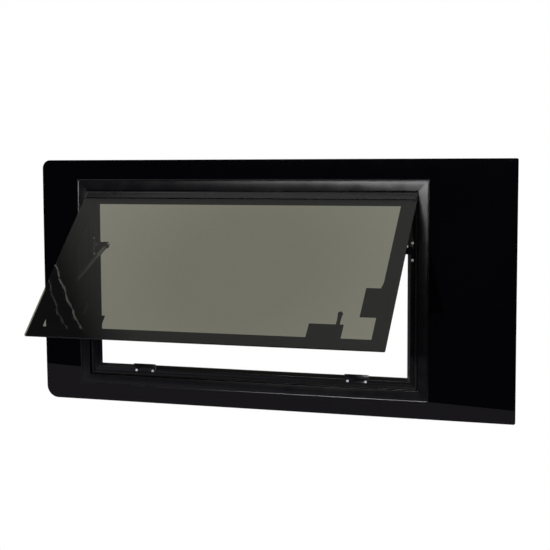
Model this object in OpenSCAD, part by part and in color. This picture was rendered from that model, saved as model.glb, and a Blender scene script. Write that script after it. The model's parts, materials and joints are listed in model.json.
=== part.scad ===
// Bonded side window for a van body: a curved black glass panel with a framed
// opening and a top-hung tinted sash, held by two telescopic stays and closed
// by two turn latches. Millimetres, +Z up, -Y is the outside of the vehicle.
// Origin: middle of the frame's width, middle of the panel's height, on the
// plane of the panel's inner top and bottom edges (the bonding plane).
// u runs inward across a frame member from its outer edge; v runs in from the
// panel's outer face.

/* [Panel] */
// Width of the fixed glass panel
panel_w = 1160; // [1060:10:1400]
// Height of the fixed glass panel
panel_h = 590; // [560:5:700]
// Glass thickness of the fixed panel
panel_t = 4; // [3:0.5:5]
// Radius of the body-side curve
bend_r = 22000; // [20000:250:24000]
// From the panel's left edge to the frame
panel_margin = 95.5; // [60:0.5:140]
// From the panel's top edge to the frame
frame_drop = 47; // [30:1:60]
// Corner radius, top left
corner_r_top = 20; // [5:1:40]
// Corner radius, bottom left
corner_r_bottom = 30; // [5:1:50]
// Corner radius, both right corners
corner_r_right = 4; // [2:1:20]

/* [Frame] */
// Outer width of the frame's flange
frame_w = 870; // [700:10:930]
// Outer height of the frame's flange
frame_h = 504; // [420:2:520]
// Width of the visible flange
flange_w = 25; // [22:0.5:30]
// Thickness of the flange
flange_t = 2; // [1.6:0.1:3]
// Wall of the frame profile
frame_wall = 2; // [1.6:0.1:2.4]
// Width of the recess for the seal
recess_w = 10; // [8:0.5:14]
// From the lip's face back to the recess floor
recess_back = 3; // [2.5:0.1:4]
// Width of the lip's face
lip_w = 9; // [9:0.5:12]
// From the closed sash back to the lip's face
lip_back = 3.6; // [3.4:0.1:4.6]
// Width and depth of the bevel round the clear opening
bevel_w = 8; // [7:0.5:9]
// Full depth of the profile behind the panel's outer face
frame_depth = 14; // [13:0.5:18]
// Thickness of the adhesive between flange and panel
bond_t = 0.6; // [0.4:0.1:1]

/* [Sash] */
// Opening angle in the stored pose
open_angle = 46.5; // [30:0.5:50]
// Glass thickness of the sash
sash_t = 4; // [3:0.5:4]
// Gap between sash and flange
sash_gap = 1; // [0.8:0.1:2]
// Corner radius of the sash glass
sash_corner_r = 3; // [2:0.5:6]
// From the flange's inner edge down to the hinge axis
hinge_below = 8; // [7.6:0.1:9]
// Radius of the hinge bead
hinge_bead_r = 2.6; // [2.4:0.1:2.8]
// Radius of the knuckle that turns on the bead
hinge_knuckle_r = 5.2; // [5:0.1:5.4]
// Length of the hinge's glazing leaves from the axis
hinge_leaf = 18; // [15:0.5:24]

/* [Stays] */
// From the clear opening's side to the stay
stay_inset = 17; // [17:0.5:60]
// From the hinge axis down to the stay's frame pivot
stay_drop = 127; // [100:1:150]
// Distance from hinge axis to the stay's sash pivot
stay_reach = 317; // [290:1:330]
// Outer radius of the stay tube
stay_tube_r = 5; // [4.5:0.1:6]
// Radius of the stay rod
stay_rod_r = 3.5; // [3:0.1:3.6]
// Radius of the frame pivot stud
stay_stud_r = 3; // [2.5:0.1:3.2]

/* [Latches] */
// From the frame's outer side to the latch pivot
latch_inset = 140; // [130:1:160]
// From the clear opening's bottom up to the latch pivot
latch_rise = 16.5; // [16:0.1:18]
// Length of the lever from its pivot to its tip
lever_len = 63; // [50:1:70]
// Radius of the latch pivot
latch_pin_r = 2.5; // [2:0.1:3]
// From the latch pivot inward to the middle of its striker
striker_shift = 29; // [27:0.5:31]
// Width of a striker
striker_w = 58; // [50:1:64]

/* [Fasteners] */
// Spacing of the striker and stay bracket screws
striker_pitch = 43; // [36:0.5:46]
// Spacing of the stay bracket screws
bracket_pitch = 38.4; // [32:0.2:44]
// Head radius of the small screws
screw_head_r = 3.3; // [2.8:0.1:3.6]
// Shank radius of the small screws
screw_r = 1.6; // [1.2:0.1:1.8]
// Number of screws along the hinge rail
hinge_screws_n = 7; // [5:1:11]

/* [Hidden] */

fine_fn = 48;
over = 20;
clear = 0.3;
curve_slack = 0.06;

// The curve of the panel: a cylinder along X, its outer face through the
// panel's outer edges.
edge_y = -panel_t;
bend_y = round(10 * (edge_y + sqrt(bend_r * bend_r - panel_h * panel_h / 4))) / 10;
shortest_sweep = 1.44;
function lean(z) = asin(z / bend_r);
function face_y(z) = bend_y - bend_r * cos(lean(z));

// Frame levels
frame_top_z = panel_h / 2 - frame_drop;
frame_bottom_z = frame_top_z - frame_h;
half_w = frame_w / 2;
u_lip = flange_w + recess_w;
u_bevel = u_lip + lip_w;
u_clear = u_bevel + bevel_w;
v_face = -bond_t - flange_t;
v_glass = v_face + sash_t;
lip_depth = v_glass + lip_back;
recess_depth = lip_depth + recess_back;
v_bevel = lip_depth + bevel_w - 1;
cut_u = flange_w - frame_wall - 4;
bead_r = 1.4;
mitre = u_clear + 10;
panel_left = -half_w - panel_margin;
panel_right = panel_left + panel_w;

// Sash levels: the sash is drawn closed, then swung about the hinge axis.
hinge_drop = flange_w + hinge_below;
pivot_z = frame_top_z - hinge_drop;
pivot_v = -1;
pivot_y = face_y(pivot_z) + pivot_v;
sash_w = frame_w - 2 * (flange_w + sash_gap);
sash_bottom_z = frame_bottom_z + flange_w + sash_gap;
glass_top_u = hinge_drop + hinge_knuckle_r + 1.3;
profile_l = sash_w - 8;
cap_t = 3.5;
strip_t = 0.5;
leaf_t = 1.3;
hinge_fit = 0.05;
neck_t = 1.8;
neck_angle = 38;
wall_u = flange_w + 0.4;
neck_l = (hinge_drop - wall_u - neck_t / 2) / cos(neck_angle);
window_margin = 4;
window_half = asin(neck_t / 2 / hinge_bead_r) + window_margin;

// Latch levels
latch_x = half_w - latch_inset;
latch_z = frame_bottom_z + u_clear + latch_rise;
pad_t = 0.4;
latch_base_t = 3.5;
v_latch_base = v_glass + pad_t;
v_lever = v_latch_base + latch_base_t + 0.3;
lever_t = 4;
latch_base_w = 70;
latch_base_h = 24;
striker_x = latch_x - striker_shift;
striker_t = 1.2;
striker_rise = 4;

// Stay levels and the positions of its two pivots, closed and open
v_stay = lip_depth + 7;
stay_x = half_w - u_clear - stay_inset;
stay_z = pivot_z - stay_drop;
stay_foot_z = pivot_z - stay_reach;
foot_w = 32;
foot_h = 64;
foot_t = 2;
ear_t = 2;
eye_w = 7;
eye_r = 8;
rod_eye_r = 6;
bracket_t = 1.5;
bracket_h = bracket_pitch + 17;
v_bracket = lip_depth - bracket_t - curve_slack;
tube_start = 15;
gland_head = 4;
tube_end_gap = 4.9;
rod_fit = 0.05;
rod_back = 24;
function deep(z, v) = [face_y(z) + v * cos(lean(z)), z - v * sin(lean(z))];
function swing(p, a) = [
    pivot_y + (p[0] - pivot_y) * cos(a) - (p[1] - pivot_z) * sin(a),
    pivot_z + (p[0] - pivot_y) * sin(a) + (p[1] - pivot_z) * cos(a)];
stay_a = deep(stay_z, v_stay);
stay_b_closed = deep(stay_foot_z, v_stay);
stay_b = swing(stay_b_closed, -open_angle);
stay_open_l = norm(stay_b - stay_a);
stay_closed_l = norm(stay_b_closed - stay_a);
stay_tilt = atan2(stay_b[0] - stay_a[0], stay_a[1] - stay_b[1]);
rod_l = stay_closed_l - rod_back;
tube_l = stay_closed_l - tube_start - gland_head - rod_eye_r - tube_end_gap;
piston_l = 10;

// Lines of screws
screw_line_z = frame_bottom_z + u_lip + lip_w / 2;
screw_line_x = half_w - u_lip - lip_w / 2;
stay_mid_z = stay_z - 2;
hinge_screw_z = frame_top_z - flange_w - recess_w + 3;
hinge_pitch = (frame_w - 2 * u_clear - 100) / (hinge_screws_n - 1);

// ---- placing helpers ----

// Local frame on the panel's outer face: X along, Y inward, Z up the curve
module at(x, z) {
    translate([x, face_y(z), bend_r * sin(lean(z))])
        rotate([-lean(z), 0, 0])
            children();
}

// Draws a (u, v) section along the frame's top or bottom edge
module along(edge_z, l) {
    at(0, edge_z)
        rotate([0, 90, 0])
            linear_extrude(height = l, center = true)
                children();
}

module along_top(l) {
    along(frame_top_z, l)
        children();
}

module along_bottom(l) {
    mirror([0, 0, 1])
        along(-frame_bottom_z, l)
            children();
}

// Sweeps a section [v, x] round the body-side curve, past both heights
module bend(low, high) {
    reach = (high - low) / 2 + over;
    sweep = max(2 * asin(reach / bend_r), shortest_sweep);
    translate([0, bend_y, 0])
        rotate([-90, 0, 0])
            rotate([0, 90, 0])
                rotate([0, 0, -lean((low + high) / 2) - sweep / 2])
                    rotate_extrude(angle = sweep, $fn = 24 * 360 / sweep)
                        translate([bend_r, 0])
                            children();
}

// Draws a (u, v) section up the frame's left edge
module up_left() {
    bend(frame_bottom_z, frame_top_z)
        translate([0, -half_w])
            rotate(90)
                children();
}

// Block through the whole depth with an outline in X and Z
module through() {
    translate([0, 50, 0])
        rotate([90, 0, 0])
            linear_extrude(height = 100)
                children();
}

module mirror_x() {
    mirror([1, 0, 0])
        children();
}

module both() {
    children();
    mirror_x()
        children();
}

module side_mitre() {
    through()
        polygon([[-half_w - over, frame_top_z + over], [-half_w + mitre, frame_top_z - mitre],
            [-half_w + mitre, frame_bottom_z + mitre], [-half_w - over, frame_bottom_z - over]]);
}

module end_mitre(edge_z, way) {
    through()
        polygon([[-half_w - over, edge_z + way * over], [-half_w + mitre, edge_z - way * mitre],
            [half_w - mitre, edge_z - way * mitre], [half_w + over, edge_z + way * over]]);
}

// The three kinds of mitred member, from one section
module member_top() {
    intersection() {
        along_top(frame_w + 2)
            children();
        end_mitre(frame_top_z, 1);
    }
}

module member_bottom() {
    intersection() {
        along_bottom(frame_w + 2)
            children();
        end_mitre(frame_bottom_z, -1);
    }
}

module member_left() {
    intersection() {
        up_left()
            children();
        side_mitre();
    }
}

module block(u0, v0, u1, v1) {
    translate([u0, v0])
        square([u1 - u0, v1 - v0]);
}

// Swings what is drawn closed to the stored pose
module opened() {
    translate([0, pivot_y, pivot_z])
        rotate([-open_angle, 0, 0])
            translate([0, -pivot_y, -pivot_z])
                children();
}

module rounded_block(w, h, t, r) {
    rotate([-90, 0, 0])
        linear_extrude(height = t)
            rounded_rect(w, h, r);
}

module rounded_rect(w, h, r) {
    difference() {
        square([w, h], center = true);
        for (sx = [-1, 1], sy = [-1, 1])
            corner_cut(sx * w / 2, sy * h / 2, -sx, -sy, r);
    }
}

// What rounding takes off a corner at (x, y) whose body lies towards (dx, dy)
module corner_cut(x, y, dx, dy, r) {
    difference() {
        translate([x + (dx < 0 ? -r : -1), y + (dy < 0 ? -r : -1)])
            square([r + 1, r + 1]);
        translate([x + dx * r, y + dy * r])
            circle(r = r, $fn = fine_fn);
    }
}

module screw(r, head_r, head_h, l) {
    rotate([90, 0, 0])
        cylinder(r = head_r * 0.8, h = head_h, $fn = fine_fn);
    rotate([90, 0, 0])
        cylinder(r1 = head_r, r2 = head_r * 0.8, h = head_h - 0.3, $fn = fine_fn);
    rotate([-90, 0, 0])
        cylinder(r = r, h = l, $fn = fine_fn);
}

module hole(r, l) {
    translate([0, -l / 2, 0])
        rotate([-90, 0, 0])
            cylinder(r = r, h = l, $fn = fine_fn);
}

// ---- fixed panel and frame ----

module panel_outline() {
    difference() {
        translate([panel_left, -panel_h / 2])
            square([panel_w, panel_h]);
        corner_cut(panel_left, panel_h / 2, 1, -1, corner_r_top);
        corner_cut(panel_left, -panel_h / 2, 1, 1, corner_r_bottom);
        corner_cut(panel_right, panel_h / 2, -1, -1, corner_r_right);
        corner_cut(panel_right, -panel_h / 2, -1, 1, corner_r_right);
        translate([0, (frame_top_z + frame_bottom_z) / 2])
            rounded_rect(frame_w - 2 * cut_u, frame_h - 2 * cut_u, 3);
    }
}

module outer_panel() {
    color([0.02, 0.02, 0.025])
        intersection() {
            bend(-panel_h / 2, panel_h / 2)
                translate([-panel_t, panel_left - 1])
                    square([panel_t, panel_w + 2]);
            through()
                panel_outline();
        }
}

// Section of the mitred frame: flange with edge bead, web, recess floor, lip,
// bevel and back, round one closed chamber
module frame_section() {
    difference() {
        union() {
            block(bead_r, v_face, flange_w, -bond_t);
            translate([bead_r, -bond_t - bead_r])
                circle(r = bead_r, $fn = 12);
            block(flange_w - frame_wall, v_face, flange_w, frame_depth);
            block(flange_w - 0.5, recess_depth, u_lip + 0.5, frame_depth);
            polygon([[u_lip, lip_depth], [u_bevel, lip_depth], [u_clear, v_bevel],
                [u_clear, frame_depth], [u_lip, frame_depth]]);
        }
        translate([2 * bead_r + 1.2, v_face - 0.2])
            circle(r = 0.7, $fn = 12);
        polygon([[flange_w, recess_depth + frame_wall], [u_lip + frame_wall, recess_depth + frame_wall],
            [u_lip + frame_wall, lip_depth + frame_wall],
            [u_bevel - 0.8, lip_depth + frame_wall], [u_clear - frame_wall - 0.8, v_bevel],
            [u_clear - frame_wall - 0.8, frame_depth - frame_wall], [flange_w, frame_depth - frame_wall]]);
    }
}

module striker_holes() {
    for (s = [-1, 1], x = striker_pitch / 2 * [-1, 1])
        at(s * striker_x + x, screw_line_z)
            translate([0, lip_depth + 1, 0])
                hole(screw_r + 0.05, 6);
}

module bracket_holes() {
    for (s = [-1, 1])
        at(-screw_line_x, stay_mid_z + s * bracket_pitch / 2)
            translate([0, lip_depth + 1, 0])
                hole(screw_r + 0.05, 6);
}

module hinge_hole_row(r, l) {
    for (i = [0 : hinge_screws_n - 1])
        at((i - (hinge_screws_n - 1) / 2) * hinge_pitch, hinge_screw_z)
            translate([0, recess_depth, 0])
                hole(r, l);
}

module frame_top() {
    color([0.07, 0.07, 0.08])
        difference() {
            member_top()
                frame_section();
            hinge_hole_row(screw_r + 0.05, 6);
        }
}

module frame_bottom() {
    color([0.05, 0.05, 0.06])
        difference() {
            member_bottom()
                frame_section();
            striker_holes();
        }
}

module left_member() {
    difference() {
        member_left()
            frame_section();
        bracket_holes();
    }
}

module frame_left() {
    color([0.05, 0.05, 0.06])
        left_member();
}

module frame_right() {
    color([0.05, 0.05, 0.06])
        mirror_x()
            left_member();
}

// One cleat: an angle lying in the chamber, its corner at the mitre
module corner_key(edge_z) {
    key_l = 42;
    key_w = 7;
    key_t = frame_depth - recess_depth - 2 * frame_wall - 2 * clear;
    key_u = flange_w + 1;
    at(-half_w, edge_z)
        translate([key_u, recess_depth + frame_wall + clear, -key_u]) {
            translate([0, 0, -key_w])
                cube([key_l, key_t, key_w]);
            translate([0, 0, -key_l])
                cube([key_w, key_t, key_l]);
        }
}

// Cleats inside the chamber at the four mitres
module corner_keys() {
    color("silver")
        both() {
            corner_key(frame_top_z);
            mirror([0, 0, 1])
                corner_key(-frame_bottom_z);
        }
}

module bond_section() {
    block(bead_r * 2 + 1, -bond_t, flange_w - frame_wall, -curve_slack);
    block(cut_u + 1, -bond_t, flange_w - frame_wall, panel_t);
}

module frame_bond() {
    color([0.1, 0.1, 0.1]) {
        member_top()
            bond_section();
        member_bottom()
            bond_section();
        both()
            member_left()
                bond_section();
    }
}

// Bulb seal in the recess: a foot on the floor and a round lip under the glass
module seal_section() {
    bulb_r = (recess_depth - v_glass - 0.2) / 2;
    mid_u = flange_w + recess_w / 2;
    difference() {
        union() {
            block(flange_w + 1, recess_depth - 1.6, u_lip - 1, recess_depth);
            translate([mid_u, recess_depth - bulb_r])
                circle(r = bulb_r, $fn = 12);
        }
        translate([mid_u, recess_depth - bulb_r])
            circle(r = bulb_r - 1.1, $fn = 12);
    }
}

module seal_bottom() {
    color([0.03, 0.03, 0.03])
        member_bottom()
            seal_section();
}

module seal_left_side() {
    intersection() {
        member_left()
            seal_section();
        through()
            translate([-half_w, frame_bottom_z])
                square([half_w, frame_h - u_clear]);
    }
}

module seal_left() {
    color([0.03, 0.03, 0.03])
        seal_left_side();
}

module seal_right() {
    color([0.03, 0.03, 0.03])
        mirror_x()
            seal_left_side();
}

// Flat strip on the lip under the hinge's inner leaf
module seal_top() {
    color([0.03, 0.03, 0.03])
        along_top(frame_w - 2 * u_clear)
            block(u_lip + 1, v_glass + leaf_t + strip_t + clear, u_bevel - 1, lip_depth);
}

// ---- hinge ----

// Everything that turns keeps clear of the neck inside this sector
module window_sector(r) {
    from = 180 - neck_angle - window_half;
    to = 180 - neck_angle + open_angle + window_half;
    steps = 8;
    polygon(concat([[0, 0]],
        [for (i = [0 : steps]) let (a = from + (to - from) * i / steps) r * [cos(a), sin(a)]]));
}

module hinge_rail() {
    color([0.08, 0.08, 0.09])
        difference() {
            along_top(profile_l - 4) {
                translate([hinge_drop, pivot_v])
                    circle(r = hinge_bead_r, $fn = fine_fn);
                translate([hinge_drop, pivot_v])
                    rotate(180 - neck_angle)
                        translate([0, -neck_t / 2])
                            square([neck_l, neck_t]);
                block(wall_u, pivot_v + neck_l * sin(neck_angle) - neck_t / 2, wall_u + neck_t, recess_depth);
                block(wall_u, recess_depth - 1.6, u_lip - 0.4, recess_depth);
            }
            hinge_hole_row(screw_r + 0.05, 6);
        }
}

module hinge_screws() {
    color("silver")
        for (i = [0 : hinge_screws_n - 1])
            at((i - (hinge_screws_n - 1) / 2) * hinge_pitch, hinge_screw_z)
                translate([0, recess_depth - 1.6 - curve_slack, 0])
                    screw(screw_r, 2.4, 1.2, 5);
}

module profile_section(solid_knuckle = false) {
    difference() {
        union() {
            translate([hinge_drop, pivot_v])
                circle(r = hinge_knuckle_r, $fn = fine_fn);
            block(hinge_drop + 3, v_face - strip_t - leaf_t, hinge_drop + hinge_leaf, v_face - strip_t);
            block(hinge_drop + 3, v_glass + strip_t, hinge_drop + hinge_leaf - 3, v_glass + strip_t + leaf_t);
            block(hinge_drop + 3, v_face - strip_t, glass_top_u - strip_t, v_glass + strip_t);
        }
        if (!solid_knuckle) {
            translate([hinge_drop, pivot_v])
                circle(r = hinge_bead_r + hinge_fit, $fn = fine_fn);
            translate([hinge_drop, pivot_v])
                window_sector(9);
        }
    }
}

module hinge_profile() {
    color([0.09, 0.09, 0.1])
        opened()
            along_top(profile_l)
                profile_section();
}

module hinge_end_caps() {
    color([0.05, 0.05, 0.05])
        opened()
            both()
                at(-profile_l / 2 - cap_t / 2, frame_top_z)
                    rotate([0, 90, 0])
                        linear_extrude(height = cap_t, center = true)
                            difference() {
                                profile_section(true);
                                block(glass_top_u - strip_t, v_face - strip_t, 90, v_glass + strip_t);
                            }
}

module hinge_glazing_strip() {
    color([0.03, 0.03, 0.03])
        opened()
            along_top(profile_l)
                difference() {
                    block(glass_top_u - strip_t, v_face - strip_t, hinge_drop + hinge_leaf - 3, v_glass + strip_t);
                    block(glass_top_u - curve_slack, v_face, 90, v_glass + curve_slack);
                }
}

// ---- sash glass and what is bonded to it ----

module sash_outline() {
    top_z = frame_top_z - glass_top_u;
    translate([0, (top_z + sash_bottom_z) / 2])
        rounded_rect(sash_w, top_z - sash_bottom_z, sash_corner_r);
}

module sash_glass() {
    color([0.35, 0.37, 0.33, 0.6])
        opened()
            intersection() {
                bend(sash_bottom_z, frame_top_z - glass_top_u)
                    translate([-v_glass, -sash_w / 2 - 1])
                        square([sash_t, sash_w + 2]);
                through()
                    sash_outline();
            }
}

module latch_base_side() {
    opened()
        difference() {
            at(-latch_x + latch_base_w / 2 - 11, latch_z)
                translate([0, v_latch_base, 0])
                    rounded_block(latch_base_w, latch_base_h, latch_base_t, 5);
            at(-latch_x, latch_z)
                translate([0, v_latch_base, 0])
                    hole(latch_pin_r + 0.02, 20);
        }
}

module latch_base_left() {
    color([0.06, 0.06, 0.06])
        latch_base_side();
}

module latch_base_right() {
    color([0.06, 0.06, 0.06])
        mirror_x()
            latch_base_side();
}

module latch_pins() {
    head_h = 2.2;
    color("silver")
        opened()
            both()
                at(-latch_x, latch_z)
                    translate([0, v_latch_base, 0])
                        rotate([-90, 0, 0]) {
                            cylinder(r = latch_pin_r, h = latch_base_t + lever_t + 1, $fn = fine_fn);
                            translate([0, 0, latch_base_t + lever_t + 0.6])
                                cylinder(r = 4.2, h = head_h, $fn = fine_fn);
                        }
}

module latch_washers() {
    color("silver")
        opened()
            both()
                at(-latch_x, latch_z)
                    translate([0, v_latch_base + latch_base_t, 0])
                        rotate([-90, 0, 0])
                            difference() {
                                cylinder(r = 5, h = 0.2, $fn = fine_fn);
                                translate([0, 0, -1])
                                    cylinder(r = latch_pin_r + 0.02, h = 3, $fn = fine_fn);
                            }
}

// Lever, drawn for the left latch: upright, its tongue towards the middle
module lever_outline() {
    tip_r = 5.4;
    tongue_l = 11.5;
    union() {
        circle(r = 7.5, $fn = fine_fn);
        translate([0, lever_len - tip_r])
            circle(r = tip_r, $fn = fine_fn);
        polygon([[-5.5, 0], [5.5, 0], [3.6, lever_len * 0.62], [4.6, lever_len - tip_r],
            [-4.6, lever_len - tip_r], [-3.6, lever_len * 0.62]]);
        rotate(25)
            translate([0, -7])
                square([tongue_l, 14]);
        rotate(25)
            translate([tongue_l, 0])
                circle(r = 7, $fn = fine_fn);
    }
}

module lever_side() {
    opened()
        at(-latch_x, latch_z)
            translate([0, v_lever + lever_t, 0])
                rotate([90, 0, 0])
                    linear_extrude(height = lever_t)
                        difference() {
                            lever_outline();
                            circle(r = latch_pin_r + 0.06, $fn = fine_fn);
                        }
}

module latch_lever_left() {
    color([0.12, 0.12, 0.12])
        lever_side();
}

module latch_lever_right() {
    color([0.12, 0.12, 0.12])
        mirror_x()
            lever_side();
}

// ---- strikers on the sill ----

module striker_side() {
    rise_u = u_clear + striker_rise;
    difference() {
        at(-striker_x, frame_bottom_z)
            translate([0, lip_depth - striker_t, (u_lip + 1 + rise_u) / 2])
                rounded_block(striker_w, rise_u - u_lip - 1, striker_t, 2);
        striker_holes();
    }
}

module striker_left() {
    color([0.12, 0.12, 0.13])
        striker_side();
}

module striker_right() {
    color([0.12, 0.12, 0.13])
        mirror_x()
            striker_side();
}

module striker_screws() {
    color("silver")
        for (s = [-1, 1], x = striker_pitch / 2 * [-1, 1])
            at(s * striker_x + x, screw_line_z)
                translate([0, lip_depth - striker_t - curve_slack, 0])
                    screw(screw_r, screw_head_r, 1.8, 5);
}

// ---- stays ----

module bracket_side() {
    ear_x = stay_x + eye_w / 2 + 0.4;
    arm_h = 16;
    difference() {
        union() {
            at(-screw_line_x, stay_mid_z)
                translate([0, v_bracket, 0])
                    rounded_block(lip_w - 1, bracket_h, bracket_t, 2);
            at(-ear_x - ear_t, stay_z)
                translate([ear_t + ear_x - screw_line_x, v_bracket, -arm_h / 2])
                    cube([screw_line_x - ear_x, bracket_t, arm_h]);
            at(-ear_x - ear_t, stay_z)
                translate([0, v_bracket, -arm_h / 2])
                    cube([ear_t, v_stay - v_bracket, arm_h]);
            at(-ear_x - ear_t, stay_z)
                translate([0, v_stay, 0])
                    rotate([0, 90, 0])
                        cylinder(r = arm_h / 2, h = ear_t, $fn = fine_fn);
        }
        bracket_holes();
        at(-stay_x, stay_z)
            translate([-20, v_stay, 0])
                rotate([0, 90, 0])
                    cylinder(r = stay_stud_r + 0.02, h = 40, $fn = fine_fn);
    }
}

module stay_bracket_left() {
    color([0.1, 0.1, 0.11])
        bracket_side();
}

module stay_bracket_right() {
    color([0.1, 0.1, 0.11])
        mirror_x()
            bracket_side();
}

module stay_bracket_screws() {
    color("silver")
        both()
            for (s = [-1, 1])
                at(-screw_line_x, stay_mid_z + s * bracket_pitch / 2)
                    translate([0, v_bracket - curve_slack, 0])
                        screw(screw_r, screw_head_r, 1.8, 5);
}

module stay_studs() {
    inner = eye_w / 2 + 0.4;
    color("silver")
        both()
            at(-stay_x, stay_z)
                translate([0, v_stay, 0])
                    rotate([0, 90, 0]) {
                        translate([0, 0, -inner - ear_t])
                            cylinder(r = stay_stud_r, h = 2 * inner + ear_t, $fn = fine_fn);
                        translate([0, 0, inner])
                            cylinder(r = 5.5, h = 1.6, $fn = fine_fn);
                    }
}

// Places what is drawn from the frame pivot, pointing down the open stay
module on_stay() {
    translate([-stay_x, stay_a[0], stay_a[1]])
        rotate([stay_tilt, 0, 0])
            rotate([180, 0, 0])
                children();
}

module tube_side() {
    on_stay()
        difference() {
            union() {
                rotate([0, 90, 0])
                    cylinder(r = eye_r, h = eye_w, center = true, $fn = fine_fn);
                translate([-eye_w / 2, -stay_tube_r + 1, 0])
                    cube([eye_w, 2 * stay_tube_r - 2, tube_start + 1]);
                translate([0, 0, tube_start])
                    cylinder(r = stay_tube_r, h = tube_l, $fn = fine_fn);
            }
            rotate([0, 90, 0])
                cylinder(r = stay_stud_r + 0.05, h = 20, center = true, $fn = fine_fn);
            translate([0, 0, tube_start + 2])
                cylinder(r = stay_rod_r + 0.7, h = tube_l, $fn = fine_fn);
        }
}

module stay_tube_left() {
    color([0.25, 0.25, 0.26])
        tube_side();
}

module stay_tube_right() {
    color([0.25, 0.25, 0.26])
        mirror_x()
            tube_side();
}

// Guide bush in the mouth of the tube
module gland_side() {
    gland_l = 12;
    on_stay()
        translate([0, 0, tube_start + tube_l - gland_l])
            difference() {
                union() {
                    cylinder(r = stay_rod_r + 0.68, h = gland_l, $fn = fine_fn);
                    translate([0, 0, gland_l])
                        cylinder(r = stay_tube_r + 0.6, h = gland_head, $fn = fine_fn);
                }
                translate([0, 0, -1])
                    cylinder(r = stay_rod_r + rod_fit, h = gland_l + 10, $fn = fine_fn);
            }
}

module stay_gland_left() {
    color([0.05, 0.05, 0.05])
        gland_side();
}

module stay_gland_right() {
    color([0.05, 0.05, 0.05])
        mirror_x()
            gland_side();
}

module rod_side() {
    on_stay()
        translate([0, 0, stay_open_l])
            difference() {
                union() {
                    rotate([0, 90, 0])
                        cylinder(r = rod_eye_r, h = 2 * stay_rod_r, center = true, $fn = fine_fn);
                    translate([0, 0, -rod_l])
                        cylinder(r = stay_rod_r, h = rod_l - 4, $fn = fine_fn);
                }
                rotate([0, 90, 0])
                    cylinder(r = 2.52, h = 20, center = true, $fn = fine_fn);
                translate([0, 0, -rod_l - 1])
                    cylinder(r = 1.52, h = piston_l - 1, $fn = fine_fn);
            }
}

module stay_rod_left() {
    color([0.55, 0.55, 0.56])
        rod_side();
}

module stay_rod_right() {
    color([0.55, 0.55, 0.56])
        mirror_x()
            rod_side();
}

// Brake piston on the rod's inner end: a shank in the rod and a ring in the bore
module piston_side() {
    on_stay()
        translate([0, 0, stay_open_l - rod_l]) {
            translate([0, 0, -5])
                cylinder(r = stay_rod_r + 0.64, h = 5, $fn = fine_fn);
            cylinder(r = 1.5, h = piston_l - 3, $fn = fine_fn);
        }
}

module stay_piston_left() {
    color([0.15, 0.15, 0.15])
        piston_side();
}

module stay_piston_right() {
    color([0.15, 0.15, 0.15])
        mirror_x()
            piston_side();
}

// Pin riding in the rod's eye; it stops short of the foot's ear
module rod_pin_side() {
    on_stay()
        translate([0, 0, stay_open_l])
            rotate([0, 90, 0]) {
                translate([0, 0, -stay_rod_r])
                    cylinder(r = 2.5, h = 2 * stay_rod_r, $fn = fine_fn);
                translate([0, 0, stay_rod_r])
                    cylinder(r = 4.2, h = 1.4, $fn = fine_fn);
            }
}

module stay_rod_pin_left() {
    color("silver")
        rod_pin_side();
}

module stay_rod_pin_right() {
    color("silver")
        mirror_x()
            rod_pin_side();
}

// Foot on the glass with an ear beside the rod's eye
module foot_side() {
    ear_x = stay_x + stay_rod_r + clear;
    foot_x = ear_x + ear_t + 1 - foot_w / 2;
    opened() {
        at(-foot_x, stay_foot_z)
            translate([0, v_glass + pad_t, 0])
                rounded_block(foot_w, foot_h, foot_t, 4);
        at(-ear_x - ear_t, stay_foot_z)
            translate([0, v_glass + pad_t, -9])
                cube([ear_t, v_stay - v_glass - pad_t, 18]);
        at(-ear_x - ear_t, stay_foot_z)
            translate([0, v_stay, 0])
                rotate([0, 90, 0])
                    cylinder(r = 9, h = ear_t, $fn = fine_fn);
    }
}

module stay_foot_left() {
    color([0.1, 0.1, 0.11])
        foot_side();
}

module stay_foot_right() {
    color([0.1, 0.1, 0.11])
        mirror_x()
            foot_side();
}

// Adhesive under the latch bases and the stay feet
module bond_pads() {
    foot_x = stay_x + stay_rod_r + clear + ear_t + 1 - foot_w / 2;
    color([0.2, 0.2, 0.2])
        opened()
            both() {
                at(-latch_x + latch_base_w / 2 - 11, latch_z)
                    translate([0, v_glass + curve_slack, 0])
                        rounded_block(latch_base_w - 2, latch_base_h - 2, pad_t - curve_slack, 4);
                at(-foot_x, stay_foot_z)
                    translate([0, v_glass + curve_slack, 0])
                        rounded_block(foot_w - 2, foot_h - 2, pad_t - curve_slack, 3);
            }
}

outer_panel();
frame_top();
frame_bottom();
frame_left();
frame_right();
corner_keys();
frame_bond();
seal_top();
seal_bottom();
seal_left();
seal_right();
hinge_rail();
hinge_screws();
striker_left();
striker_right();
striker_screws();
stay_bracket_left();
stay_bracket_right();
stay_bracket_screws();
stay_studs();
sash_glass();
hinge_profile();
hinge_end_caps();
hinge_glazing_strip();
latch_base_left();
latch_base_right();
latch_pins();
latch_washers();
stay_foot_left();
stay_foot_right();
bond_pads();
latch_lever_left();
latch_lever_right();
stay_tube_left();
stay_tube_right();
stay_gland_left();
stay_gland_right();
stay_rod_left();
stay_rod_right();
stay_piston_left();
stay_piston_right();
stay_rod_pin_left();
stay_rod_pin_right();
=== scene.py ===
import bmesh
import bpy
import json
import math
from mathutils import Matrix, Vector


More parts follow.
